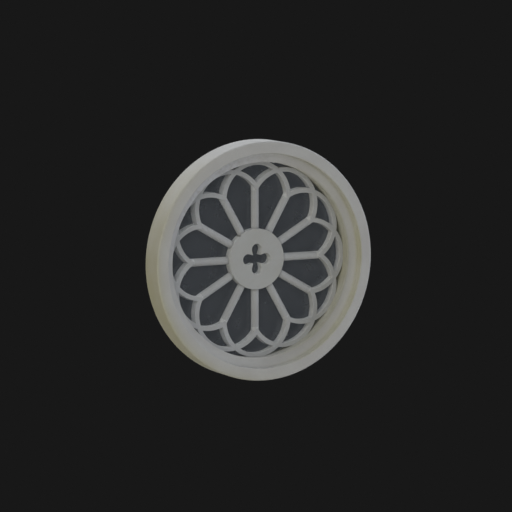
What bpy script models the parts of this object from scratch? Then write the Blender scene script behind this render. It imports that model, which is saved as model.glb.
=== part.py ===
"""Round gothic window of cast stone: a wheel of twelve colonnettes round a pierced hub,
an arcade of interlaced round arches, a stepped frame ring and one pane of glass behind.

The wheel is drawn lying on its back, with +Z towards its front, on the plane of the
frame's back face. An empty then stands it up, so that it faces -Y, with the middle of the
back face's lowest stretch at the origin. All sizes are in metres.
"""

import math

import bmesh
import bpy
import numpy as np
from mathutils import Matrix

# Frame ring, as radii and as heights above the back face
FRAME_RADIUS = 0.750
FRAME_DEPTH = 0.200
ARRIS_RADIUS = 0.012
STEP_RADIUS = 0.6735
STEP_FOOT_HEIGHT = 0.152
OPENING_RADIUS = 0.617
OPENING_LIP_HEIGHT = 0.130
SPLAY_HOLLOW = 0.003
BACK_SPLAY = 0.029
MOUNT_RADIUS = 0.680

# Pane and its rebate
PANE_RADIUS = 0.640
PANE_THICKNESS = 0.006

# Tracery: its two faces are measured from the plane of the colonnettes' axes
COUNT = 12
AXIS_HEIGHT = 0.040
TRACERY_FRONT = 0.031
TRACERY_BACK = 0.0255
HUB_RADIUS = 0.191
COLONNETTE_RADIUS = 0.0245
ARCH_CENTRE = 0.380
ARCH_INNER_RADIUS = 0.2125
ARCH_BAR = 0.0285
FOOT_OVERLAP = 0.008
SPRINGER_FOOT = 0.431
SPRINGER_TOP = 0.466

# Quatrefoil: four round lobes drawn in to four cusps
LOBES = 4
LOBE_RADIUS = 0.0345
LOBE_CENTRE = 0.062
CUSP_OFFSET = 0.0255

# Clearances, and the fineness of the round work
JOINT_GAP = 0.0003
CUTTER_MARGIN = 0.020
MERGE = 0.0001
RING_SIDES = 96
SHAFT_SIDES = 20
ARCH_SIDES = 26
LOBE_SIDES = 14
ARRIS_SIDES = 4
HOLLOW_SIDES = 4
SMOOTH_ANGLE = math.radians(30)

# Worked out from the sizes above
BAY = 2 * math.pi / COUNT
ARCH_OUTER_RADIUS = ARCH_INNER_RADIUS + ARCH_BAR
TRACERY_DEPTH = TRACERY_FRONT + TRACERY_BACK
PLATE_HEIGHT = AXIS_HEIGHT + (TRACERY_FRONT - TRACERY_BACK) / 2
REBATE_HEIGHT = AXIS_HEIGHT - TRACERY_BACK
REBATE_RADIUS = PANE_RADIUS + JOINT_GAP


def arc(centre, radius, start, end, sides):
    """Points on an arc, from one angle to another, both ends included."""
    turn = np.linspace(start, end, sides + 1)
    x = centre[0] + radius * np.cos(turn)
    y = centre[1] + radius * np.sin(turn)
    return list(zip(x, y))


def frame_profile():
    """Section of the frame ring as (radius, height), down the outer side and up the inner."""
    arris = (FRAME_RADIUS - ARRIS_RADIUS, FRAME_DEPTH - ARRIS_RADIUS)
    outer = arc(arris, ARRIS_RADIUS, math.pi / 2, 0, ARRIS_SIDES)
    back = [
        (FRAME_RADIUS, BACK_SPLAY),
        (FRAME_RADIUS - BACK_SPLAY, 0),
        (REBATE_RADIUS, 0),
        (REBATE_RADIUS, REBATE_HEIGHT),
        (OPENING_RADIUS, REBATE_HEIGHT),
    ]
    # The second face rises from the opening's lip to the foot of the step, a little hollow.
    along = np.linspace(0, 1, HOLLOW_SIDES + 1)
    radius = OPENING_RADIUS + along * (STEP_RADIUS - OPENING_RADIUS)
    height = OPENING_LIP_HEIGHT + along * (STEP_FOOT_HEIGHT - OPENING_LIP_HEIGHT)
    height = height - SPLAY_HOLLOW * np.sin(math.pi * along)
    splay = list(zip(radius, height))
    return outer + back + splay + [(STEP_RADIUS, FRAME_DEPTH)]


def arch_outline():
    """Half ring round a point on +Y, open towards the hub.

    Its feet end on the springing line. Each runs on past the middle of the colonnette that
    it shares with the next arch but one, as far as the overlap, and stays within that arch.
    """
    middle = (0, ARCH_CENTRE)
    reach = FOOT_OVERLAP + ARCH_CENTRE * math.sin(BAY)
    start = math.acos(reach / ARCH_OUTER_RADIUS) - BAY
    foot = reach / math.cos(BAY)
    outer = arc(middle, ARCH_OUTER_RADIUS, start, math.pi - start, ARCH_SIDES)
    inner = arc(middle, ARCH_INNER_RADIUS, math.pi, 0, ARCH_SIDES)
    return outer + [(-foot, ARCH_CENTRE)] + inner + [(foot, ARCH_CENTRE)]


def quatrefoil_outline():
    """Four lobes. Each lobe's arc runs out straight, along its tangents, to two cusps."""
    cusp = math.hypot(LOBE_CENTRE - CUSP_OFFSET, CUSP_OFFSET)
    bearing = math.atan2(CUSP_OFFSET, LOBE_CENTRE - CUSP_OFFSET)
    sweep = math.pi - bearing - math.acos(LOBE_RADIUS / cusp)
    lobe = [(CUSP_OFFSET, -CUSP_OFFSET)]
    lobe += arc((LOBE_CENTRE, 0), LOBE_RADIUS, -sweep, sweep, LOBE_SIDES)
    points = []
    for quarter in range(LOBES):
        cos = math.cos(quarter * math.pi / 2)
        sin = math.sin(quarter * math.pi / 2)
        points += [(x * cos - y * sin, x * sin + y * cos) for x, y in lobe]
    return points


def circle_outline(radius):
    return arc((0, 0), radius, 0, 2 * math.pi, RING_SIDES)[:-1]


def place(obj, collection, stand, height=0.0, turn=0.0):
    """Lays an object on the wheel's plane, at a height and turned clockwise round the axis."""
    for old in list(obj.users_collection):
        old.objects.unlink(obj)
    collection.objects.link(obj)
    obj.parent = stand
    obj.location = (0, 0, height)
    obj.rotation_euler = (0, 0, -turn)
    return obj


def smoothed(mesh):
    mesh.shade_smooth()
    mesh.set_sharp_from_angle(angle=SMOOTH_ANGLE)
    return mesh


def as_mesh(source):
    """Turns a curve, or a profile with its Screw, into a closed mesh object of its name."""
    bpy.context.scene.collection.objects.link(source)
    graph = bpy.context.evaluated_depsgraph_get()
    mesh = bpy.data.meshes.new_from_object(source.evaluated_get(graph), depsgraph=graph)
    shape = bmesh.new()
    shape.from_mesh(mesh)
    bmesh.ops.remove_doubles(shape, verts=shape.verts, dist=MERGE)
    bmesh.ops.recalc_face_normals(shape, faces=shape.faces)
    shape.to_mesh(mesh)
    shape.free()
    name = source.name
    data = source.data
    matrix = source.matrix_world.copy()
    bpy.data.objects.remove(source)
    bpy.data.batch_remove([data])
    mesh.name = name
    obj = bpy.data.objects.new(name, smoothed(mesh))
    obj.matrix_world = matrix
    return obj


def plate(name, outlines, thickness):
    """Flat piece of that thickness, centred on its own plane. Inner outlines are holes."""
    curve = bpy.data.curves.new(name, "CURVE")
    curve.dimensions = "2D"
    curve.fill_mode = "BOTH"
    curve.extrude = thickness / 2
    for outline in outlines:
        spline = curve.splines.new("POLY")
        spline.points.add(len(outline) - 1)
        for point, (x, y) in zip(spline.points, outline):
            point.co = (x, y, 0, 1)
        spline.use_cyclic_u = True
    return as_mesh(bpy.data.objects.new(name, curve))


def turned(name, profile):
    """Ring turned round Z from a closed profile of (radius, height)."""
    mesh = bpy.data.meshes.new(name)
    count = len(profile)
    edges = [(i, (i + 1) % count) for i in range(count)]
    mesh.from_pydata([(radius, 0, height) for radius, height in profile], edges, [])
    obj = bpy.data.objects.new(name, mesh)
    screw = obj.modifiers.new("turn", "SCREW")
    screw.axis = "Z"
    screw.angle = 2 * math.pi
    screw.steps = RING_SIDES
    screw.render_steps = RING_SIDES
    screw.use_merge_vertices = True
    screw.merge_threshold = MERGE
    return as_mesh(obj)


def disc(name, radius, thickness):
    """Flat round disc, centred on its own plane."""
    shape = bmesh.new()
    bmesh.ops.create_cone(
        shape,
        cap_ends=True,
        segments=RING_SIDES,
        radius1=radius,
        radius2=radius,
        depth=thickness,
    )
    mesh = bpy.data.meshes.new(name)
    shape.to_mesh(mesh)
    shape.free()
    return bpy.data.objects.new(name, smoothed(mesh))


def shaft_mesh(name, start, end):
    """Round shaft along +Y between two distances from the wheel's axis."""
    lie_along_y = Matrix.Rotation(-math.pi / 2, 4, "X")
    to_middle = Matrix.Translation((0, (start + end) / 2, 0))
    shape = bmesh.new()
    bmesh.ops.create_cone(
        shape,
        cap_ends=True,
        segments=SHAFT_SIDES,
        radius1=COLONNETTE_RADIUS,
        radius2=COLONNETTE_RADIUS,
        depth=end - start,
        matrix=to_middle @ lie_along_y,
    )
    mesh = bpy.data.meshes.new(name)
    shape.to_mesh(mesh)
    shape.free()
    return smoothed(mesh)


def combine(obj, operation, other):
    """Adds a Boolean of one object, or of every object in a collection."""
    boolean = obj.modifiers.new(operation.lower(), "BOOLEAN")
    boolean.operation = operation
    boolean.solver = "EXACT"
    if isinstance(other, bpy.types.Collection):
        boolean.operand_type = "COLLECTION"
        boolean.collection = other
    else:
        boolean.object = other


def as_cutter(obj):
    obj.hide_render = True
    obj.display_type = "WIRE"
    return obj


def material(name, colour, roughness, transmission=0.0):
    made = bpy.data.materials.new(name)
    made.use_nodes = True
    shader = made.node_tree.nodes["Principled BSDF"]
    shader.inputs["Base Color"].default_value = (*colour, 1)
    shader.inputs["Roughness"].default_value = roughness
    shader.inputs["Transmission Weight"].default_value = transmission
    made.diffuse_color = (*colour, 1)
    return made


def make_frame(window, stand):
    frame = turned("frame_ring", frame_profile())
    frame.data.materials.append(material("frame_cast_stone", (0.50, 0.49, 0.44), 0.85))
    return place(frame, window, stand)


def make_hub(window, stand):
    outlines = [circle_outline(HUB_RADIUS), quatrefoil_outline()]
    hub = plate("hub_disc", outlines, TRACERY_DEPTH)
    hub.data.materials.append(material("hub_cast_stone", (0.47, 0.47, 0.44), 0.85))
    return place(hub, window, stand, PLATE_HEIGHT)


def make_colonnettes(window, cutters, stand):
    """Shafts that start on the hub's round wall and end flat on the springers."""
    seat = disc("hub_seat", HUB_RADIUS + JOINT_GAP, 2 * TRACERY_DEPTH)
    place(as_cutter(seat), cutters, stand, AXIS_HEIGHT)
    start = HUB_RADIUS - CUTTER_MARGIN
    mesh = shaft_mesh("colonnette", start, SPRINGER_FOOT - JOINT_GAP)
    mesh.materials.append(material("shaft_cast_stone", (0.46, 0.46, 0.43), 0.85))
    for index in range(COUNT):
        shaft = bpy.data.objects.new(f"colonnette_{index + 1:02d}", mesh)
        combine(shaft, "DIFFERENCE", seat)
        place(shaft, window, stand, AXIS_HEIGHT, index * BAY)


def make_arcade(window, cutters, stand):
    """Interlaced arches and their springers as one ring, trimmed to the frame's opening."""
    others = bpy.data.collections.new("arcade_pieces")
    cutters.children.link(others)
    first = plate("arcade_ring", [arch_outline()], TRACERY_DEPTH)
    springer_mesh = shaft_mesh("springer", SPRINGER_FOOT, SPRINGER_TOP)
    for index in range(COUNT):
        springer = bpy.data.objects.new(f"springer_{index + 1:02d}", springer_mesh)
        place(as_cutter(springer), others, stand, AXIS_HEIGHT, index * BAY)
        if index > 0:
            arch = bpy.data.objects.new(f"arch_{index + 1:02d}", first.data)
            place(as_cutter(arch), others, stand, PLATE_HEIGHT, index * BAY)
    opening = disc("opening_fit", OPENING_RADIUS - JOINT_GAP, 2 * TRACERY_DEPTH)
    place(as_cutter(opening), cutters, stand, AXIS_HEIGHT)
    combine(first, "UNION", others)
    combine(first, "INTERSECT", opening)
    first.data.materials.append(material("arcade_cast_stone", (0.47, 0.47, 0.44), 0.85))
    return place(first, window, stand, PLATE_HEIGHT)


def make_pane(window, stand):
    pane = disc("glass_pane", PANE_RADIUS, PANE_THICKNESS)
    pane.data.materials.append(material("grey_glass", (0.10, 0.10, 0.11), 0.1, 0.7))
    return place(pane, window, stand, REBATE_HEIGHT - JOINT_GAP - PANE_THICKNESS / 2)


def main():
    for obj in list(bpy.data.objects):
        bpy.data.objects.remove(obj)
    window = bpy.data.collections.new("gothic_window")
    cutters = bpy.data.collections.new("cutters")
    bpy.context.scene.collection.children.link(window)
    bpy.context.scene.collection.children.link(cutters)
    stand = bpy.data.objects.new("wheel_centre", None)
    window.objects.link(stand)
    stand.location = (0, 0, MOUNT_RADIUS)
    stand.rotation_euler = (math.pi / 2, 0, 0)

    make_frame(window, stand)
    make_hub(window, stand)
    make_colonnettes(window, cutters, stand)
    make_arcade(window, cutters, stand)
    make_pane(window, stand)


main()
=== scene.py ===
import math

import bmesh
import bpy
import numpy as np
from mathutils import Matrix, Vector, geometry


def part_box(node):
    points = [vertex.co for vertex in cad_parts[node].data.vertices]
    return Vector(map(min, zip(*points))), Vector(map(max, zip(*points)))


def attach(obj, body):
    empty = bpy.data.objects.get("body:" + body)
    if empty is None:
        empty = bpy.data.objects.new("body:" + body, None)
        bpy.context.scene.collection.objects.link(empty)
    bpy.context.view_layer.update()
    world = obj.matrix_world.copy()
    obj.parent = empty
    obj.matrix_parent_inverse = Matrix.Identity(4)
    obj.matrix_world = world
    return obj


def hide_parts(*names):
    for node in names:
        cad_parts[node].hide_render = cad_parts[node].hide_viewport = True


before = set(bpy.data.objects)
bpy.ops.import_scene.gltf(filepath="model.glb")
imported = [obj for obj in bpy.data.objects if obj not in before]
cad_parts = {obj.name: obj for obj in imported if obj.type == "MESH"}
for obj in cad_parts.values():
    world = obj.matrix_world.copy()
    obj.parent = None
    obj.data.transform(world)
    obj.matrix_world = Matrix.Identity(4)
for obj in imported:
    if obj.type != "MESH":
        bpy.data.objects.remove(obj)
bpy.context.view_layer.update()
print("frame loaded:", len(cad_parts), "nodes")

# The wheel stands in the XZ plane and faces -Y. A place on it is (across, up, height):
# across and up from the wheel's centre, height above the back face towards the front.
frameLow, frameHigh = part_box("frame_ring")
hubLow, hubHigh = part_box("hub_disc")
paneLow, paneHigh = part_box("glass_pane")
shaftLow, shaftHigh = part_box("colonnette_01")
wheelCentreZ = (frameLow.z + frameHigh.z) / 2
traceryFront = -hubLow.y
traceryBack = -hubHigh.y
axisHeight = -(shaftLow.y + shaftHigh.y) / 2
spokeCount = 12
bay = 2 * math.pi / spokeCount
jointGap = 0.0003
sharpAngle = math.radians(34)
bendSpacing = 0.0015        # of the points round an arris


# Shapes, worked out as whole arrays

def toWorld(across, up, height):
    # X = across, Y = -height, Z = centre + up
    return np.stack([across, -height, wheelCentreZ + up], axis=-1)


def clockwise(places, angle):
    # places on the plan, turned clockwise round the wheel's centre
    c, s = math.cos(angle), math.sin(angle)
    x, y = np.asarray(places, float)[..., 0], np.asarray(places, float)[..., 1]
    return np.stack([x * c + y * s, y * c - x * s], axis=-1)


def arcPoints(centre, start, end, count):
    # centre + radius (cos, sin) from start to end the short way; the end itself is left out
    a = np.asarray(start, float) - centre
    b = np.asarray(end, float) - centre
    sweep = math.atan2(a[0] * b[1] - a[1] * b[0], a @ b)
    angle = math.atan2(a[1], a[0]) + sweep * np.arange(count) / count
    return centre + np.hypot(*a) * np.stack([np.cos(angle), np.sin(angle)], axis=-1)


def circleCrossing(c1, r1, c2, r2):
    # the crossing of two circles that is farther from the wheel's centre, and right of
    # the line to it when both are as far
    between = np.subtract(c2, c1)
    d = np.hypot(*between)
    along = (d * d + r1 * r1 - r2 * r2) / (2 * d)
    off = math.sqrt(r1 * r1 - along * along)
    foot = c1 + between * along / d
    side = np.array([-between[1], between[0]]) * off / d
    return max([foot + side, foot - side], key=lambda p: (round(np.hypot(*p), 6), p[0]))


def roundedSection(corners, radii):
    # closed section: each corner becomes an arc that touches both its sides, with one
    # more point beyond each end of the arc, so that the flats shade as flats
    corners = np.asarray(corners, float)
    out = []
    for i, radius in enumerate(radii):
        if radius == 0:
            out.append(corners[i][None])
            continue
        before = corners[i - 1] - corners[i]
        after = corners[(i + 1) % len(corners)] - corners[i]
        before /= np.hypot(*before)
        after /= np.hypot(*after)
        half = math.acos(before @ after) / 2
        toMiddle = (before + after) / np.hypot(*(before + after))
        middle = corners[i] + toMiddle * radius / math.sin(half)
        first = corners[i] + before * radius / math.tan(half)
        last = corners[i] + after * radius / math.tan(half)
        bend = arcPoints(middle, first, last, max(4, math.ceil(radius / bendSpacing)))
        lead, trail = first + before * radius / 2, last + after * radius / 2
        out.append(np.vstack([lead, bend, last, trail]))
    return np.concatenate(out)


def withRows(section, spacing):
    # closed section with points added along its long sides, no farther apart than spacing
    following = np.roll(section, -1, axis=0)
    out = []
    for a, b in zip(section, following):
        n = max(1, math.ceil(np.hypot(*(b - a)) / spacing))
        out.append(a + (b - a) * (np.arange(n) / n)[:, None])
    return np.concatenate(out)


def insetLoop(loop, distance):
    # every point moves to the left of the way round, along the mitre of its two edges:
    # (n1 + n2) / (1 + n1.n2) times the distance, n1 and n2 being the edges' normals
    edge = np.roll(loop, -1, axis=0) - loop
    normal = np.stack([-edge[:, 1], edge[:, 0]], axis=1)
    normal /= np.linalg.norm(normal, axis=1, keepdims=True)
    other = np.roll(normal, 1, axis=0)
    mitre = (normal + other) / (1 + np.sum(normal * other, axis=1, keepdims=True))
    return loop + mitre * np.asarray(distance)[..., None]


def gridQuads(rows, columns, first=0, closeRows=False):
    # quads of a grid whose columns close into a ring, and whose rows may
    r = np.arange(rows if closeRows else rows - 1)[:, None]
    c = np.arange(columns)[None, :]
    r2, c2 = (r + 1) % rows, (c + 1) % columns
    quads = np.stack([r * columns + c, r * columns + c2, r2 * columns + c2, r2 * columns + c], -1)
    return quads.reshape(-1, 4) + first


def poleFans(rings, sides):
    # triangles that close a grid of rings to two poles, stored after the grid: the first
    # from the first ring, the second from the last
    k = np.arange(sides)
    following = (k + 1) % sides
    top = (rings - 1) * sides
    pole = np.full(sides, rings * sides)
    return np.concatenate([np.stack([following, k, pole], 1),
                           np.stack([top + k, top + following, pole + 1], 1)])


def rubbedUneven(angle, along, seed, depth):
    # how far hand-rubbed stone falls short of true, from 0 to depth: sines with whole
    # numbers of waves round the ring, their phases drifting along the section
    rng = np.random.default_rng(seed)
    waves = rng.integers(3, 25, 9)
    total = sum(
        np.sin(n * angle + rng.uniform(0, 7) + along * rng.uniform(-30, 30)) / math.sqrt(n)
        for n in waves
    )
    return (1 - total / np.abs(total).max()) / 2 * depth


def windsRound(places, loops):
    # true where the loops wind round a place once in all: the sum of the angles under
    # which their edges are seen from it is a whole turn
    total = np.zeros(len(places))
    for loop in loops:
        a = loop[None] - places[:, None]
        b = np.roll(loop, -1, axis=0)[None] - places[:, None]
        total += np.arctan2(a[..., 0] * b[..., 1] - a[..., 1] * b[..., 0], (a * b).sum(-1)).sum(1)
    return total > math.pi


def plateShape(loops, flares, arris, rowSpacing=0.012):
    # flat plate as deep as the tracery. Each loop has the stone on its left. Its wall is a
    # grid, the section's insets and heights times the loop's points, and the two faces
    # are a constrained triangulation between the last rings. Towards the back a wall
    # flares, or draws back where its flare is below 0, by the square of the depth; a flare
    # is one number or one for each point of its loop.
    far = arris * 10
    corners = [(far, traceryFront), (0, traceryFront), (0, traceryBack), (far, traceryBack)]
    section = withRows(roundedSection(corners, [0, arris, arris, 0]), rowSpacing)
    section = section[section[:, 0] < arris * 1.6]
    points, quads, rings, first = [], [], [], 0
    depth = (traceryFront - section[:, 1]) / (traceryFront - traceryBack)
    for loop, flare in zip(loops, flares):
        inset = section[:, :1] - np.broadcast_to(flare, len(loop)) * depth[:, None] ** 2
        plan = np.stack([insetLoop(loop, each) for each in inset])
        height = np.broadcast_to(section[:, 1][:, None], plan.shape[:2])
        points.append(toWorld(plan[..., 0], plan[..., 1], height).reshape(-1, 3))
        quads.append(gridQuads(len(section), len(loop), first))
        rings.append((plan[0], first, first + (len(section) - 1) * len(loop)))
        first += len(section) * len(loop)
    flat = np.concatenate([ring[0] for ring in rings])
    edges, start = [], 0
    for ring in rings:
        n = len(ring[0])
        edges.append(np.stack([np.arange(n), (np.arange(n) + 1) % n], 1) + start)
        start += n
    edges = np.concatenate(edges)
    filled = geometry.delaunay_2d_cdt([Vector(p) for p in flat], edges.tolist(), [], 1, 1e-7)
    original = np.array([ids[0] for ids in filled[3]])
    triangles = original[np.array(filled[2])]
    triangles = triangles[windsRound(flat[triangles].mean(axis=1), [ring[0] for ring in rings])]
    frontOf = np.concatenate([ring[1] + np.arange(len(ring[0])) for ring in rings])
    backOf = np.concatenate([ring[2] + np.arange(len(ring[0])) for ring in rings])
    caps = np.concatenate([frontOf[triangles], backOf[triangles][:, ::-1]])
    return np.concatenate(points), [np.concatenate(quads), caps]


def barShape(radius, startAt, end, sides=48, rows=14):
    # round bar along a spoke: rings of (radius sin, distance, radius cos), and at each end
    # rings that shrink to a pole. startAt gives the first end for a place across the bar,
    # so that it fits a round wall.
    angle = 2 * math.pi * np.arange(sides) / sides
    across, height = radius * np.sin(angle), radius * np.cos(angle)
    shrink = [0.25, 0.5, 0.75]
    rings = [np.stack([across * s, startAt(across * s), height * s], -1) for s in shrink]
    for t in np.linspace(0, 1, rows):
        rings.append(np.stack([across, startAt(across) * (1 - t) + end * t, height], -1))
    rings += [np.stack([across * s, np.full(sides, end), height * s], -1) for s in shrink[::-1]]
    poles = [[0, startAt(np.zeros(1))[0], 0], [0, end, 0]]
    points = np.concatenate(rings + [poles])
    return points, [gridQuads(len(rings), sides), poleFans(len(rings), sides)]


# From arrays to pieces

def meshOf(name, points, faces, flatSets=()):
    # faces is a list of index arrays; the sets at the places in flatSets are shaded flat
    mesh = bpy.data.meshes.new(name)
    sizes = np.concatenate([np.full(len(f), f.shape[1]) for f in faces])
    mesh.vertices.add(len(points))
    mesh.vertices.foreach_set("co", np.asarray(points, np.float32).ravel())
    mesh.loops.add(int(sizes.sum()))
    mesh.loops.foreach_set("vertex_index", np.concatenate([f.ravel() for f in faces]))
    mesh.polygons.add(len(sizes))
    mesh.polygons.foreach_set("loop_start", np.concatenate([[0], np.cumsum(sizes)[:-1]]))
    mesh.update(calc_edges=True)
    smooth = np.concatenate([np.full(len(f), i not in flatSets) for i, f in enumerate(faces)])
    mesh.polygons.foreach_set("use_smooth", smooth)
    shape = bmesh.new()
    shape.from_mesh(mesh)
    bmesh.ops.recalc_face_normals(shape, faces=shape.faces)
    shape.to_mesh(mesh)
    shape.free()
    mesh.set_sharp_from_angle(angle=sharpAngle)
    return mesh


def addPiece(name, mesh, material, slotName, *replaced):
    mesh.materials.clear()
    mesh.materials.append(material)
    piece = bpy.data.objects.new(name, mesh)
    bpy.context.scene.collection.objects.link(piece)
    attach(piece, "root")
    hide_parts(*replaced)
    return piece


def placesOf(mesh):
    # across, up and height of every vertex
    co = np.empty(len(mesh.vertices) * 3, np.float32)
    mesh.vertices.foreach_get("co", co)
    co = co.reshape(-1, 3).astype(float)
    return co[:, 0], co[:, 2] - wheelCentreZ, -co[:, 1]


def storeMask(mesh, name, values):
    made = mesh.attributes.new(name, "FLOAT", "POINT")
    made.data.foreach_set("value", np.clip(values, 0, 1).astype(np.float32))


def fadeOut(distance, full, reach):
    # 1 near by, then falling to 0: full is how many reaches away it ends
    return np.clip(full - distance / reach, 0, 1)


def bump01(value, low, high):
    # 0 at low and high, 1 in the middle, as half a sine
    return np.sin(math.pi * np.clip((value - low) / (high - low), 0, 1))


# Materials

def srgb(code):
    # "#rrggbb" as the eye reads it, to the linear values that shaders use
    value = np.array([int(code[i:i + 2], 16) for i in (1, 3, 5)]) / 255
    linear = np.where(value <= 0.04045, value / 12.92, ((value + 0.055) / 1.055) ** 2.4)
    return (*linear.tolist(), 1.0)


def addNode(tree, kind, output, inputs=(), **settings):
    # one node with its settings; an input that is given a socket is linked to it, and the
    # output that is asked for, by its name or its place, is handed back
    node = tree.nodes.new(kind)
    for key, value in settings.items():
        setattr(node, key, value)
    for key, value in dict(inputs).items():
        if isinstance(value, bpy.types.NodeSocket):
            tree.links.new(value, node.inputs[key])
        else:
            node.inputs[key].default_value = value
    return node.outputs[output]


stoneLook = {
    "pale": "#dcdcd9",       # dry face of the cast stone
    "deep": "#d5d4d1",       # where the mix settled darker
    "dampAndWarmLight": "#cdcbb2",       # olive yellow that damp leaves on walls, and painted warm light on walls that face left
    "rubbedAndPaintedLight": "#f2f3f6",     # arrises rubbed paler, and painted light on shaded walls and faces
    "grimeAndShade": "#6d6a60",      # dirt lying in the joints, and painted shade in corners and recesses
    # noises: the size in mm and the detail
    "noises": {
        "clouds": (210, 3.0),    # broad clouds in the colour
        "mottle": (24, 4.0),     # patches where the mix was tamped
        "grain": (2.4, 2.0),     # sand of 1 mm, drawn coarser so that it shows
    },
    "pitMm": 11,             # spacing of air pits
    # smooth ramps: a pattern's two values, and the shares they stand for
    "ramps": {
        "cloudy": ("clouds", 0.35, 0.68, 0.0, 1.0),
        "patchy": ("mottle", 0.3, 0.75, 0.0, 0.4),
        "dampAndWarmLightCloudy": ("clouds", 0.25, 0.65, 0.55, 1.0),
        "rubbedAndPaintedLightPatchy": ("mottle", 0.3, 0.6, 0.35, 0.9),
        "grimeAndShadePatchy": ("mottle", 0.25, 0.65, 0.5, 1.0),
        "hollow": ("pits", 0.11, 0.044, 0.0, 1.0),       # from a pit's edge to its floor
        "pitted": ("mottle", 0.52, 0.6, 0.0, 1.0),       # pits only in some patches
        "rough": ("grain", 0.3, 0.7, 0.79, 0.91),
    },
    "pitGrime": 0.45,
    "pitDepth": 0.0008,
    "grainHeight": 0.00022,
    "mottleHeight": 0.0005,
    "grainRange": (0.25, 0.75),
    "speck": 0.045,          # how much single grains differ in brightness
    "specular": 0.35,
    "ior": 1.52,
}


def castStone(name, look, shift):
    # Cast stone, rubbed smooth: pale and matt, with a fine sandy tooth, faint clouds in
    # the colour, pin-holes, arrises a shade paler and damp walls a shade yellower. Painted
    # light and shade too: shaded walls and faces painted paler, walls that face left painted
    # yellower as under warm light, and the step's foot and opening's wall painted darker as
    # painted shade.
    made = bpy.data.materials.new(name)
    made.use_nodes = True
    tree = made.node_tree
    shader = tree.nodes["Principled BSDF"]
    corner = addNode(tree, "ShaderNodeTexCoord", "Object")
    place = addNode(tree, "ShaderNodeMapping", "Vector", {"Vector": corner, "Location": shift})

    # patterns: the noises and the air pits, and the masks that each mesh carries
    pattern = {}
    for key, (sizeMm, detail) in look["noises"].items():
        pattern[key] = addNode(tree, "ShaderNodeTexNoise", "Fac", {
            "Vector": place, "Scale": 1000 / sizeMm, "Detail": detail,
        })
    pattern["pits"] = addNode(tree, "ShaderNodeTexVoronoi", "Distance", {
        "Vector": place, "Scale": 1000 / look["pitMm"], "Randomness": 1.0,
    })
    for key in ("dampAndWarmLight", "rubbedAndPaintedLight", "grimeAndShade"):
        pattern[key] = addNode(tree, "ShaderNodeAttribute", "Fac", attribute_name=key)
    share = {}
    for key, (source, low, high, toLow, toHigh) in look["ramps"].items():
        share[key] = addNode(tree, "ShaderNodeMapRange", "Result", {
            "Value": pattern[source], "From Min": low, "From Max": high,
            "To Min": toLow, "To Max": toHigh,
        }, interpolation_type="SMOOTHSTEP")
    pit = addNode(tree, "ShaderNodeMath", 0, {0: share["hollow"], 1: share["pitted"]},
                  operation="MULTIPLY")

    # colour: coats laid one over another, each by a share, or by a share times a factor
    colour = srgb(look["pale"])
    coats = [
        ("deep", share["cloudy"], None),
        ("deep", share["patchy"], None),
        # yellower: damp stains, and painted warm light on walls that face left
        ("dampAndWarmLight", pattern["dampAndWarmLight"], share["dampAndWarmLightCloudy"]),
        # paler: rubbed arrises, and painted light on shaded walls and faces
        ("rubbedAndPaintedLight", pattern["rubbedAndPaintedLight"], share["rubbedAndPaintedLightPatchy"]),
        # darker: dirt in the joints, and painted shade in corners and recesses
        ("grimeAndShade", pattern["grimeAndShade"], share["grimeAndShadePatchy"]),
        ("grimeAndShade", pit, look["pitGrime"]),
    ]
    for tone, amount, factor in coats:
        if factor is not None:
            amount = addNode(tree, "ShaderNodeMath", 0, {0: amount, 1: factor},
                             operation="MULTIPLY")
        colour = addNode(tree, "ShaderNodeMix", 2, {0: amount, 6: colour, 7: srgb(look[tone])},
                         data_type="RGBA")
    speck = addNode(tree, "ShaderNodeMapRange", "Result", {
        "Value": pattern["grain"],
        "From Min": look["grainRange"][0], "From Max": look["grainRange"][1],
        "To Min": 1 - look["speck"], "To Max": 1 + look["speck"],
    })
    colour = addNode(tree, "ShaderNodeMix", 2, {0: 1.0, 6: colour, 7: speck},
                     data_type="RGBA", blend_type="MULTIPLY")
    tree.links.new(colour, shader.inputs["Base Color"])

    # relief: sand, then patches and pits added to it
    height = addNode(tree, "ShaderNodeMath", 0, {0: pattern["grain"], 1: look["grainHeight"]},
                     operation="MULTIPLY")
    for each, rise in ((pattern["mottle"], look["mottleHeight"]), (pit, -look["pitDepth"])):
        height = addNode(tree, "ShaderNodeMath", 0, {0: each, 1: rise, 2: height},
                         operation="MULTIPLY_ADD")
    tooth = addNode(tree, "ShaderNodeBump", "Normal", {
        "Height": height, "Strength": 1.0, "Distance": 1.0,
    })
    tree.links.new(tooth, shader.inputs["Normal"])
    tree.links.new(share["rough"], shader.inputs["Roughness"])
    shader.inputs["Specular IOR Level"].default_value = look["specular"]
    shader.inputs["IOR"].default_value = look["ior"]
    return made


frameStone = castStone("castStoneFrame", stoneLook, (0.0, 0.0, 0.0))
traceryLook = {
    **stoneLook,
    "pale": "#d3d5d6",
    "deep": "#cccdcd",
    "rubbedAndPaintedLight": "#f4f5f4",     # rubbed arrises, and painted light on the walls between the two faces
    "pitMm": 9,
}
traceryStone = castStone("castStoneTracery", traceryLook, (3.7, 1.9, 5.3))
print("stone ready")


# Frame ring

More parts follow.
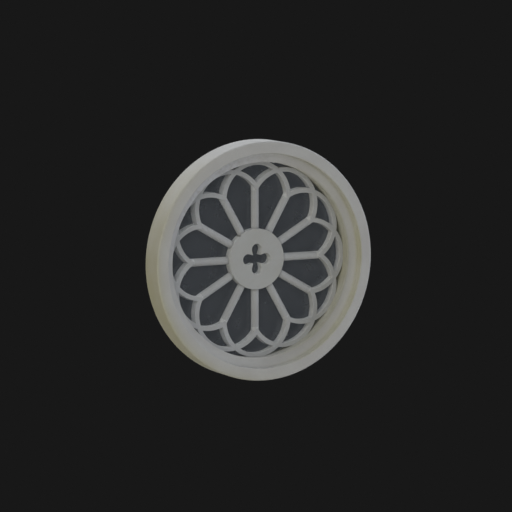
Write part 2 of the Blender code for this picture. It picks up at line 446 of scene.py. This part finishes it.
frameRing = {
    "radius": (frameHigh.x - frameLow.x) / 2,
    "depth": -frameLow.y,
    "outerArris": 0.012,
    "stepRadius": 0.6735,
    "stepFoot": 0.152,       # height of the second face where it meets the step
    "stepArris": 0.003,
    "openingRadius": 0.617,
    "lipRadius": 0.6138,     # from the tracery's front the opening narrows to its lip
    "lip": 0.130,            # height of the second face at the opening
    "lipArris": 0.0025,
    "hollow": 0.003,         # how far the second face is hollowed
    "hollowPoints": 7,
    "backSplay": 0.029,
    "backArris": 0.003,
    "seatArris": 0.002,
    "rebateRadius": 0.6403,
    "mouthArris": 0.0015,    # at the opening's back
    "rowSpacing": 0.009,
    "sides": 384,
    "uneven": 0.0006,
    "unevenSeed": 11,
    "trueUpTo": 0.012,       # height below which seat and rebate stay true
    "unevenOver": 0.020,     # and the height over which the unevenness sets in
    # wear, damp, painted light and painted shade, as shares of a mask; turns are clockwise from
    # the top
    "dampWarmLightTurn": math.radians(245),       # the middle of the outer wall's yellower side: damp, and painted warm light where it faces down and left
    "stepDampWarmLight": 0.95,        # painted warm light and damp, on the right of the step's wall, which faces left
    "stepReach": 0.009,
    "revealDampWarmLight": 0.85,      # painted warm light and damp, on the right of the opening's wall, which faces left
    "revealReach": 0.0035,
    "paintedLightTurn": math.radians(325),      # the middle of the second face's stretch painted paler, painted light where it faces down into shade
    "paintedLightOver": 0.006,      # from the step inwards
    "arrisRubbed": 0.15,
    "footShade": 0.3,        # painted shade along the step's foot
    "footShadeRight": 0.1,
    "footReach": 0.010,
    # painted shade on the right of the opening's wall
    "revealShade": 0.11,
}


def makeFrame(s):
    # a section turned round the wheel's axis: (radius sin, radius cos, height) for each
    # turn, with the section drawn in a little, unevenly, where hands have rubbed it
    along = np.linspace(0, 1, s["hollowPoints"] + 2)[1:-1]
    splayRadius = s["lipRadius"] + along * (s["stepRadius"] - s["lipRadius"])
    splayHeight = s["lip"] + along * (s["stepFoot"] - s["lip"])
    splayHeight = splayHeight - s["hollow"] * np.sin(math.pi * along)
    corners = [
        (s["radius"], s["depth"]),
        (s["radius"], s["backSplay"]),
        (s["radius"] - s["backSplay"], 0),
        (s["rebateRadius"], 0),
        (s["rebateRadius"], traceryBack),
        (s["openingRadius"], traceryBack),
        (s["openingRadius"], traceryFront + jointGap),
        (s["lipRadius"], s["lip"]),
        *zip(splayRadius, splayHeight),
        (s["stepRadius"], s["stepFoot"]),
        (s["stepRadius"], s["depth"]),
    ]
    rounding = [s["outerArris"], s["backArris"], s["seatArris"], 0, 0, s["mouthArris"], 0]
    rounding += [s["lipArris"]] + [0] * len(along) + [0, s["stepArris"]]
    section = withRows(roundedSection(corners, rounding), s["rowSpacing"])
    angle = 2 * math.pi * np.arange(s["sides"]) / s["sides"]
    # the section runs clockwise on (radius, height), so its left is outside the stone
    way = np.concatenate([[0], np.cumsum(np.hypot(*np.diff(section, axis=0).T))])
    shown = np.clip((section[:, 1] - s["trueUpTo"]) / s["unevenOver"], 0, 1)
    depth = rubbedUneven(angle[None], way[:, None], s["unevenSeed"], s["uneven"])
    depth = depth * shown[:, None]
    drawn = np.stack([insetLoop(section, -depth[:, k]) for k in range(s["sides"])], axis=1)
    radius, height = drawn[..., 0], drawn[..., 1]
    points = toWorld(radius * np.sin(angle), radius * np.cos(angle), height)
    faces = [gridQuads(len(section), s["sides"], closeRows=True)]
    mesh = meshOf("stoneFrame", points.reshape(-1, 3), faces)

    across, up, height = placesOf(mesh)
    radius = np.hypot(across, up)
    turn = np.arctan2(across, up)                               # clockwise from the top
    side = np.cos(turn - s["dampWarmLightTurn"]).clip(0, 1)
    right = np.sin(turn).clip(0, 1)
    front = height > s["lip"]
    stepWall = fadeOut(np.abs(radius - s["stepRadius"]), 1.3, s["stepReach"]) * front
    reveal = fadeOut(np.abs(radius - s["openingRadius"]), 1.9, s["revealReach"])
    # damp and painted warm light: yellower on the low left of the outer wall, thinning out
    # across the face, and on the right of the step's wall and of the opening's, walls that face
    # left
    ontoFace = np.clip((radius - s["stepRadius"]) / (s["radius"] - s["stepRadius"]), 0, 1)
    inside = s["stepDampWarmLight"] * stepWall + s["revealDampWarmLight"] * reveal
    storeMask(mesh, "dampAndWarmLight", side * ontoFace ** 2 + right * inside)
    # rubbed and painted light: the outer arris rubbed paler, and the upper left of the second
    # face, which faces down into shade, painted paler as painted light
    arris = s["outerArris"]
    edge = bump01(radius, s["radius"] - 1.1 * arris, s["radius"] + 0.5 * arris)
    edge *= bump01(height, s["depth"] - 1.1 * arris, s["depth"] + 0.5 * arris)
    splay = np.clip((s["stepRadius"] - radius) / s["paintedLightOver"], 0, 1)
    splay = splay * (height > s["lip"] - 0.001)
    paintedLight = np.cos(turn - s["paintedLightTurn"]).clip(0, 1) ** 3
    storeMask(mesh, "rubbedAndPaintedLight", s["arrisRubbed"] * edge + paintedLight * splay)
    # painted shade: darker along the step's foot, less on the right, and on the right of the
    # opening's wall
    foot = fadeOut(np.hypot(radius - s["stepRadius"], height - s["stepFoot"]), 1, s["footReach"])
    footShadeShare = s["footShade"] + (s["footShadeRight"] - s["footShade"]) * right
    storeMask(mesh, "grimeAndShade", foot * footShadeShare + s["revealShade"] * right * reveal)
    return addPiece("stoneFrame", mesh, frameStone, "frame_stone", "frame_ring")


makeFrame(frameRing)
print("frame ring made")


# Arcade ring

arcade = {
    "archCentre": 0.380,     # on the spoke, from the wheel's centre
    "archInner": 0.2125,
    "archBar": 0.0285,
    "overlap": 0.008,        # how far a foot runs past its spoke's middle
    "arris": 0.0022,
    "outerLean": 0.003,      # how far the outer walls lean from the front to the back
    "innerLean": 0.002,      # and the inner walls
    "springerRadius": 0.0245,
    "springerFoot": 0.431,
    "springerTop": 0.466,
    "springerRows": 8,
    "pointSpacing": 0.006,
}


def arcadeLoops(s):
    # the loops that interlaced round arches leave: circles round the places archCentre out
    # on each spoke, cut where they cross, each loop with the stone on its left
    inner, outer = s["archInner"], s["archInner"] + s["archBar"]
    clip = frameRing["openingRadius"] - jointGap
    centre = np.array([0, s["archCentre"]])
    after, before = clockwise(centre, bay), clockwise(centre, -bay)
    mirror = np.array([-1, 1])

    def arc(middle, start, end):
        chord = np.hypot(*np.subtract(end, start))
        return arcPoints(middle, start, end, max(3, round(1.05 * chord / s["pointSpacing"])))

    # opening: from the notch between two feet, up one arch's inside and down the next's
    reach = s["overlap"] + s["archCentre"] * math.sin(bay)
    toe = clockwise((-inner, s["archCentre"]), bay)
    heel = clockwise((-reach / math.cos(bay), s["archCentre"]), bay)
    notch = np.array([0, toe[1] + toe[0] * (heel[1] - toe[1]) / (toe[0] - heel[0])])
    head = circleCrossing(centre, inner, after, inner)
    nextToe = clockwise(toe * mirror, bay)
    side = np.vstack([notch, arc(after, toe, head), arc(centre, head, nextToe), nextToe])
    loops = [np.concatenate([clockwise(side, k * bay) for k in range(spokeCount)])]

    # eyes: from the lowest corner up the left, over the crown and down the right
    low = circleCrossing(before, outer, after, outer)
    right = circleCrossing(after, outer, centre, inner)
    left = right * mirror
    eye = np.vstack([arc(before, low, left), arc(centre, left, right), arc(after, right, low)])
    loops += [clockwise(eye, k * bay) for k in range(spokeCount)]

    # rim: round the fit in the frame's opening, and in between two crowns to their crossing
    touch = circleCrossing(centre, outer, (0, 0), clip)
    touch = touch * np.sign(touch[0]) ** np.array([1, 0])
    valley = circleCrossing(centre, outer, after, outer)
    nextTouch = clockwise(touch * mirror, bay)
    rim = np.vstack([arc(np.zeros(2), touch * mirror, touch), arc(centre, touch, valley),
                     arc(after, valley, nextTouch)])
    loops.append(np.concatenate([clockwise(rim, k * bay) for k in range(spokeCount)])[::-1])
    return loops


traceryWearAndPaintedLight = {
    "arrisRubbed": 0.4,
    # painted light: the walls between the two faces made paler, standing in for light in the
    # recesses
    "wallPaintedLight": 0.55,
    "upPaintedLight": 0.45,      # painted light: more on walls that face up, where light from above falls, and less on those that face down
}


def maskTracery(mesh, arris, dampAndWarmLight=0.0, grimeAndShade=0.0):
    # rubbed paler arrises; painted light: walls between the two faces paler, most so where
    # they face up and light from above falls; and an even share of damp
    across, up, height = placesOf(mesh)
    radius = np.hypot(across, up)
    off = np.minimum(traceryFront - height, height - traceryBack)
    facing = np.empty(len(radius) * 3, np.float32)
    mesh.vertices.foreach_get("normal", facing)
    walls = traceryWearAndPaintedLight["wallPaintedLight"] + traceryWearAndPaintedLight["upPaintedLight"] * facing[2::3]
    walls = np.where(off > arris * 0.6, walls, 0)
    edge = traceryWearAndPaintedLight["arrisRubbed"] * bump01(off, 0, arris)
    storeMask(mesh, "rubbedAndPaintedLight", np.maximum(edge, walls))
    storeMask(mesh, "dampAndWarmLight", np.full(len(radius), dampAndWarmLight))
    storeMask(mesh, "grimeAndShade", np.zeros(len(radius)) + grimeAndShade)


def stand(points, angle):
    # a bar drawn along +up is turned clockwise to its spoke and stood up on the wheel
    plan = clockwise(points[:, :2], angle)
    return toWorld(plan[:, 0], plan[:, 1], axisHeight + points[:, 2])


def makeArcade(s):
    # An arch's walls lean away from its middle towards the back: its outer wall flares and
    # its inner wall draws back, with a smooth change where they meet. The rim fits the
    # frame's opening and stays upright.
    loops = arcadeLoops(s)
    centres = s["archCentre"] * np.array([clockwise((0, 1), k * bay) for k in range(spokeCount)])
    outer = s["archInner"] + s["archBar"]
    flares = []
    for loop in loops[:-1]:
        off = np.abs(np.hypot(*(loop - centres[:, None]).T) - outer).min(axis=1)
        way = np.where(off < 1e-5, s["outerLean"], -s["innerLean"])
        flares.append(sum(np.roll(way, k) for k in range(-2, 3)) / 5)
    flares.append(0)
    points, faces = plateShape(loops, flares, s["arris"])
    mesh = meshOf("stoneArcade", points, faces, flatSets=(1,))
    stub, stubFaces = barShape(s["springerRadius"], lambda x: np.full(x.shape, s["springerFoot"]),
                               s["springerTop"], rows=s["springerRows"])
    allPoints, allQuads, allFans = [], [], []
    for k in range(spokeCount):
        allPoints.append(stand(stub, k * bay))
        allQuads.append(stubFaces[0] + k * len(stub))
        allFans.append(stubFaces[1] + k * len(stub))
    stubs = meshOf("springers", np.concatenate(allPoints),
                   [np.concatenate(allQuads), np.concatenate(allFans)])
    # the round springers are joined to the flat arches they carry
    plate = bpy.data.objects.new("archPlate", mesh)
    tool = bpy.data.objects.new("springerTool", stubs)
    for each in (plate, tool):
        bpy.context.scene.collection.objects.link(each)
    union = plate.modifiers.new("springers", "BOOLEAN")
    union.operation = "UNION"
    union.solver = "EXACT"
    union.object = tool
    graph = bpy.context.evaluated_depsgraph_get()
    joined = bpy.data.meshes.new_from_object(plate.evaluated_get(graph), depsgraph=graph)
    bpy.data.objects.remove(plate)
    bpy.data.objects.remove(tool)
    joined.set_sharp_from_angle(angle=sharpAngle)
    maskTracery(joined, s["arris"])
    return addPiece("stoneArcade", joined, traceryStone, "tracery_stone", "arcade_ring")


makeArcade(arcade)
print("arcade made")


# Hub

hub = {
    "radius": (hubHigh.x - hubLow.x) / 2,
    "arris": 0.0025,
    "lobeRadius": 0.0345,
    "lobeCentre": 0.062,
    "cusp": 0.0255,          # how far each cusp stands off across and up
    "dampAndWarmLight": 0.2,
    "darkSpotTurn": math.radians(-37.5),    # clockwise from the top, a dark spot on the rim
    "darkSpotReach": 0.009,
    "rimPoints": 240,
    "lobePoints": 29,
}


def quatrefoilLoop(s):
    # four lobes: each an arc that runs out straight, along its tangents, to two cusps
    away = s["lobeCentre"] - s["cusp"]
    span = math.hypot(away, s["cusp"])
    sweep = math.pi - math.atan2(s["cusp"], away) - math.acos(s["lobeRadius"] / span)
    angle = np.linspace(-sweep, sweep, s["lobePoints"])
    lobe = np.stack([s["lobeCentre"] + s["lobeRadius"] * np.cos(angle),
                     s["lobeRadius"] * np.sin(angle)], -1)
    lobe = np.vstack([(s["cusp"], -s["cusp"]), lobe])
    return np.concatenate([clockwise(lobe, -k * math.pi / 2) for k in range(4)])[::-1]


def makeHub(s):
    # round plate, its rim radius (cos, sin), pierced by the quatrefoil
    angle = 2 * math.pi * np.arange(s["rimPoints"]) / s["rimPoints"]
    rim = s["radius"] * np.stack([np.cos(angle), np.sin(angle)], -1)
    points, faces = plateShape([rim, quatrefoilLoop(s)], [0, 0], s["arris"])
    mesh = meshOf("stoneHub", points, faces, flatSets=(1,))
    across, up, height = placesOf(mesh)
    # darker in a small spot on the rim, by the shaft at the upper left
    aside = (np.arctan2(across, up) - s["darkSpotTurn"]) * s["radius"]
    inset = s["radius"] - np.hypot(across, up)
    darkSpot = fadeOut(np.hypot(inset, aside), 1.2, s["darkSpotReach"])
    maskTracery(mesh, s["arris"], s["dampAndWarmLight"], np.where(inset < 1.2 * s["arris"], darkSpot, 0))
    return addPiece("stoneHub", mesh, traceryStone, "tracery_stone", "hub_disc")


makeHub(hub)
print("hub made")


# Colonnettes

colonnette = {
    "radius": arcade["springerRadius"],
    "end": arcade["springerFoot"] - jointGap,
    "grimeAndShade": 0.4,            # in the joint with the hub
    "grimeReach": 0.010,
}


def makeColonnettes(s):
    # a bar on each spoke, from the hub's round wall to its springer
    seat = hub["radius"] + jointGap
    for k in range(spokeCount):
        bar, faces = barShape(s["radius"], lambda x: np.sqrt(seat * seat - x * x), s["end"])
        mesh = meshOf(f"stoneShaft{k + 1:02d}", stand(bar, k * bay), faces)
        across, up, height = placesOf(mesh)
        radius = np.hypot(across, up)
        storeMask(mesh, "rubbedAndPaintedLight", np.zeros(len(radius)))
        storeMask(mesh, "dampAndWarmLight", np.zeros(len(radius)))
        storeMask(mesh, "grimeAndShade", fadeOut(radius - seat, 1, s["grimeReach"]) * s["grimeAndShade"])
        addPiece(mesh.name, mesh, traceryStone, "tracery_stone", f"colonnette_{k + 1:02d}")


makeColonnettes(colonnette)
print("colonnettes made")


# Glass

glassLook = {
    "tint": "#858a90",       # grey of the glass's body and the film of dust on it
    "transmission": 0.8,
    "roughness": (0.14, 0.28),
    "ior": 1.52,
    "rollMm": 70,            # faint waves that rolling leaves
    "rollHeight": 0.0006,
}

pane = {
    "radius": (paneHigh.x - paneLow.x) / 2,
    "front": -paneLow.y,
    "back": -paneHigh.y,
    "rings": 40,
    "sides": 192,
    "arris": 0.0006,
}


def greyGlass(name, look):
    # Grey sheet glass, rolled: mostly see-through, with a dull grey body, faint waves in
    # its surface and a little dust.
    made = bpy.data.materials.new(name)
    made.use_nodes = True
    tree = made.node_tree
    shader = tree.nodes["Principled BSDF"]
    place = addNode(tree, "ShaderNodeTexCoord", "Object")
    waves = addNode(tree, "ShaderNodeTexNoise", "Fac", {
        "Vector": place, "Scale": 1000 / look["rollMm"], "Detail": 1.0,
    })
    roll = addNode(tree, "ShaderNodeBump", "Normal", {
        "Height": waves, "Strength": 1.0, "Distance": look["rollHeight"],
    })
    tree.links.new(roll, shader.inputs["Normal"])
    dust = addNode(tree, "ShaderNodeMapRange", "Result", {
        "Value": waves, "From Min": 0.3, "From Max": 0.7,
        "To Min": look["roughness"][0], "To Max": look["roughness"][1],
    })
    tree.links.new(dust, shader.inputs["Roughness"])
    shader.inputs["Base Color"].default_value = srgb(look["tint"])
    shader.inputs["Transmission Weight"].default_value = look["transmission"]
    shader.inputs["IOR"].default_value = look["ior"]
    return made


def makePane(s):
    # round sheet: rings that grow from a pole in front, over the edge, back to a pole
    out = np.linspace(0, s["radius"] - s["arris"] * 2, s["rings"])[1:]
    corners = [(0, s["front"]), (s["radius"], s["front"]),
               (s["radius"], s["back"]), (0, s["back"])]
    edge = roundedSection(corners, [0, s["arris"], s["arris"], 0])[1:-1]
    radius = np.concatenate([out, edge[:, 0], out[::-1]])
    height = np.concatenate([np.full(len(out), s["front"]), edge[:, 1],
                             np.full(len(out), s["back"])])
    angle = 2 * math.pi * np.arange(s["sides"]) / s["sides"]
    rings = toWorld(radius[:, None] * np.sin(angle), radius[:, None] * np.cos(angle),
                    np.broadcast_to(height[:, None], (len(height), s["sides"])))
    poles = toWorld(np.zeros(2), np.zeros(2), np.array([s["front"], s["back"]]))
    points = np.concatenate([rings.reshape(-1, 3), poles])
    faces = [gridQuads(len(radius), s["sides"]), poleFans(len(radius), s["sides"])]
    mesh = meshOf("greyPane", points, faces)
    material = greyGlass("greyRolledGlass", glassLook)
    return addPiece("greyPane", mesh, material, "grey_glass", "glass_pane")


makePane(pane)
print("pane made")


# Floor, light and camera

studio = {
    "floorDrop": 3.75,       # below the wheel's centre; the window sits high in a wall
    "floorRadius": 8.0,
    "floorRings": 12,
    "floorSides": 96,
    "floorColour": "#b9b8b4",
    "floorRoughness": 0.9,
    "backdrop": "#181818",
    # name: place from the wheel's centre, size, watts, colour
    "lights": {
        "left": ((-8.75, -1.56, -1.5), 5.0, 104, "#fff5da"),
        "frontLeft": ((-6.89, -5.79, 0.0), 5.0, 97, "#fffef8"),
        "frontLeftHigh": ((-4.74, -5.65, 5.16), 5.0, 97, "#ffffff"),
        "frontHigh": ((0.0, -7.37, 5.16), 5.0, 38, "#ffffff"),
        "overhead": ((0.0, -3.76, 7.06), 4.5, 33, "#f8fdff"),
        "right": ((8.46, -3.08, 0.0), 5.0, 95, "#e9eeff"),
        "rightHigh": ((7.12, -1.91, 5.16), 5.0, 120, "#edf4ff"),
        "lowRight": ((4.38, -3.07, -2.72), 3.5, 48, "#ffffff"),
        "behindAbove": ((0.0, 3.5, 6.06), 4.5, 240, "#f6f9ff"),
        "throughGlass": ((1.0, 4.0, -0.3), 8.0, 23, "#fafcff"),
    },
}

view = {
    "azimuth": 27.4,         # degrees to the left of straight in front
    "elevation": 7.1,
    "distance": 18.17,
    "aim": (0.0092, 0.0161), # across and up from the wheel's centre, on the shafts' plane
    "lens": 203.9,           # mm
    "sensor": 36,            # mm
}


def makeFloor(s):
    # flat disc: rings of (radius cos, radius sin) round a pole
    count, sides = s["floorRings"], s["floorSides"]
    angle = 2 * math.pi * np.arange(sides) / sides
    radius = np.linspace(0, s["floorRadius"], count + 1)[1:, None]
    z = np.full((count, sides), wheelCentreZ - s["floorDrop"])
    rings = np.stack([radius * np.cos(angle), radius * np.sin(angle), z], -1).reshape(-1, 3)
    points = np.vstack([rings, (0, 0, wheelCentreZ - s["floorDrop"])])
    k = np.arange(sides)
    fan = np.stack([k, (k + 1) % sides, np.full(sides, len(rings))], 1)
    quads = gridQuads(count, sides)[:, ::-1]
    mesh = bpy.data.meshes.new("floor")
    mesh.from_pydata(points.tolist(), [], quads.tolist() + fan.tolist())
    made = bpy.data.materials.new("paleFloor")
    made.use_nodes = True
    shader = made.node_tree.nodes["Principled BSDF"]
    shader.inputs["Base Color"].default_value = srgb(s["floorColour"])
    shader.inputs["Roughness"].default_value = s["floorRoughness"]
    mesh.materials.append(made)
    floor = bpy.data.objects.new("floor", mesh)
    bpy.context.scene.collection.objects.link(floor)


def makeLights(s):
    centre = Vector((0, -axisHeight, wheelCentreZ))
    for name, (place, size, watts, colour) in s["lights"].items():
        data = bpy.data.lights.new(name, "AREA")
        data.shape = "DISK"
        data.size = size
        data.energy = watts
        data.color = srgb(colour)[:3]
        lamp = bpy.data.objects.new(name, data)
        lamp.location = centre + Vector(place)
        lamp.rotation_mode = "QUATERNION"
        lamp.rotation_quaternion = (-Vector(place)).to_track_quat("-Z", "Y")
        lamp.visible_camera = False
        bpy.context.scene.collection.objects.link(lamp)
    world = bpy.data.worlds.new("darkRoom")
    world.use_nodes = True
    world.node_tree.nodes["Background"].inputs["Color"].default_value = srgb(s["backdrop"])
    bpy.context.scene.world = world


def makeCamera(s):
    azimuth, elevation = math.radians(s["azimuth"]), math.radians(s["elevation"])
    back = Vector((-math.sin(azimuth) * math.cos(elevation),
                   -math.cos(azimuth) * math.cos(elevation), math.sin(elevation)))
    aim = Vector((s["aim"][0], -axisHeight, wheelCentreZ + s["aim"][1]))
    data = bpy.data.cameras.new("camera")
    data.lens = s["lens"]
    data.sensor_width = s["sensor"]
    data.clip_end = 100
    camera = bpy.data.objects.new("camera", data)
    camera.location = aim + back * s["distance"]
    camera.rotation_mode = "QUATERNION"
    camera.rotation_quaternion = (-back).to_track_quat("-Z", "Y")
    bpy.context.scene.collection.objects.link(camera)
    bpy.context.scene.camera = camera


makeFloor(studio)
makeLights(studio)
makeCamera(view)
bpy.context.scene.view_settings.view_transform = "Standard"
print("studio ready")
